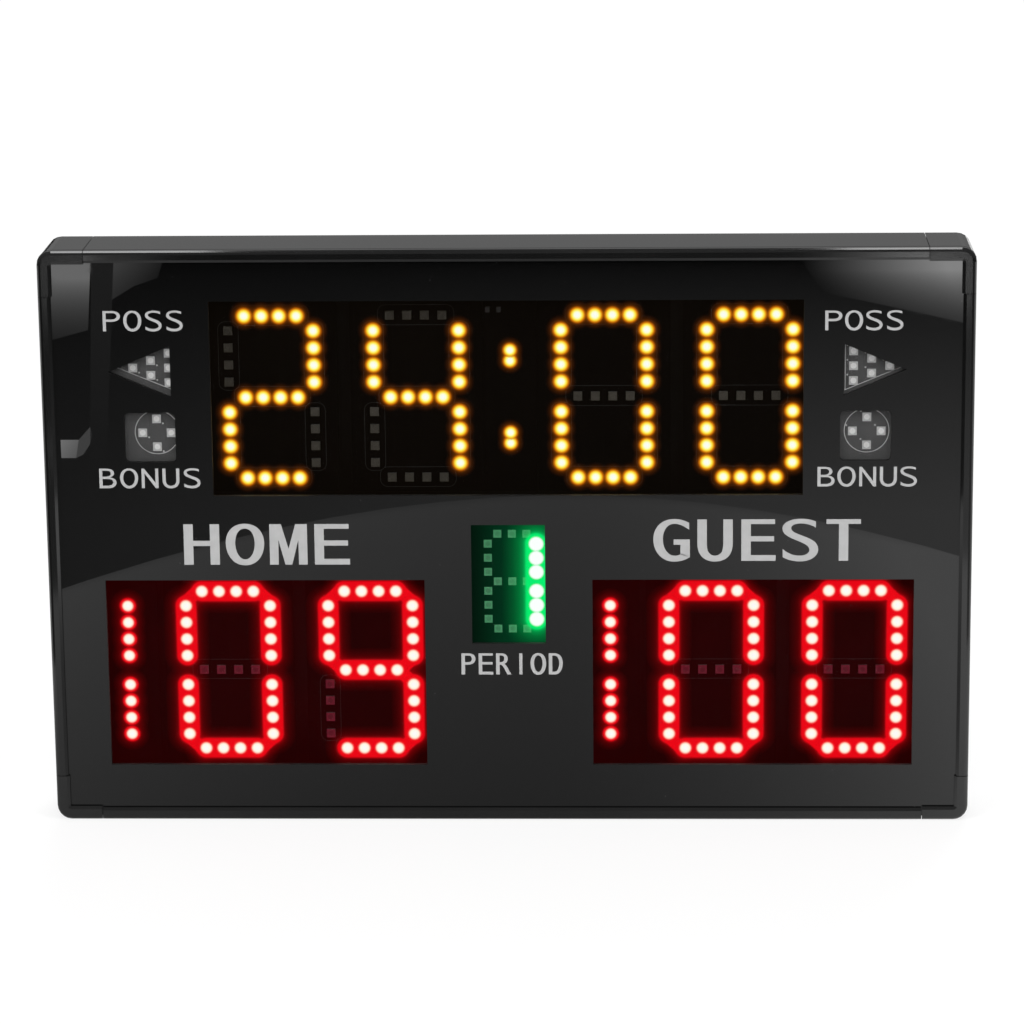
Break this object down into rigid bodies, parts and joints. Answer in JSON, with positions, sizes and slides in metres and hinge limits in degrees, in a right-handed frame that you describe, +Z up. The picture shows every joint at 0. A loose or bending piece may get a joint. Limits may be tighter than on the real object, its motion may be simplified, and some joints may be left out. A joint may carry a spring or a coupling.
{
  "type": "electronic scoreboard",
  "caption": "Table-top electronic scoreboard with lit segment digits behind windows in a gloss face, an extruded frame with corner caps, and a folding rear stand.",
  "frame": {"origin": "middle of the bottom edge that the board stands on", "axes": "+Z up, the face looks towards -Y, +X to the right of someone who looks at the face"},
  "size_m": [0.53, 0.048, 0.337],
  "materials": {
    "frame_metal": "satin black powder coat",
    "cap_plastic": "satin moulded",
    "panel_acrylic": "polished black acrylic",
    "filter_acrylic": "smoked",
    "lens_acrylic": "clear",
    "lamp_board": "black solder mask",
    "control_board": "green solder mask",
    "cover_metal": "fine textured black powder coat",
    "black_plastic": "moulded",
    "zinc_steel": "zinc plated"
  },
  "bodies": {
    "board": {"frame_left": "frame_metal", "frame_top": "frame_metal", "frame_right": "frame_metal", "frame_bottom": "frame_metal", "corner_cap_bottom_left": "cap_plastic", "corner_cap_top_left": "cap_plastic", "corner_cap_top_right": "cap_plastic", "corner_cap_bottom_right": "cap_plastic", "face_panel": "panel_acrylic", "timer_filter": "filter_acrylic", "home_filter": "filter_acrylic", "guest_filter": "filter_acrylic", "period_filter": "filter_acrylic", "left_indicator_lens": "lens_acrylic", "right_indicator_lens": "lens_acrylic", "minutes_tens_board": "lamp_board", "minutes_units_board": "lamp_board", "seconds_tens_board": "lamp_board", "seconds_units_board": "lamp_board", "colon_board": "lamp_board", "home_hundreds_board": "lamp_board", "home_tens_board": "lamp_board", "home_units_board": "lamp_board", "guest_hundreds_board": "lamp_board", "guest_tens_board": "lamp_board", "guest_units_board": "lamp_board", "period_board": "lamp_board", "left_indicator_board": "lamp_board", "right_indicator_board": "lamp_board", "rear_cover": "cover_metal", "control_board": "control_board", "receiver_board": "control_board", "power_board": "control_board", "power_inlet": "black_plastic", "inlet_nut": "zinc_steel", "switch_housing": "black_plastic", "buzzer": "black_plastic", "stand_saddle_left": "zinc_steel", "stand_saddle_right": "zinc_steel", "hanger_left": "zinc_steel", "hanger_right": "zinc_steel"},
    "stand": {"stand_bail": "zinc_steel"},
    "rocker": {"power_rocker": "black_plastic"}
  },
  "joints": [
    {"name": "stand_fold", "type": "hinge", "parent": "board", "child": "stand", "pos_m": [0, 0.0198, 0.205], "axis": [1, 0, 0], "range_deg": [0, 35]},
    {"name": "power_switch", "type": "hinge", "parent": "board", "child": "rocker", "pos_m": [0.018, 0.0167, 0.062], "axis": [0, 0, 1], "range_deg": [0, 24]}
  ]
}
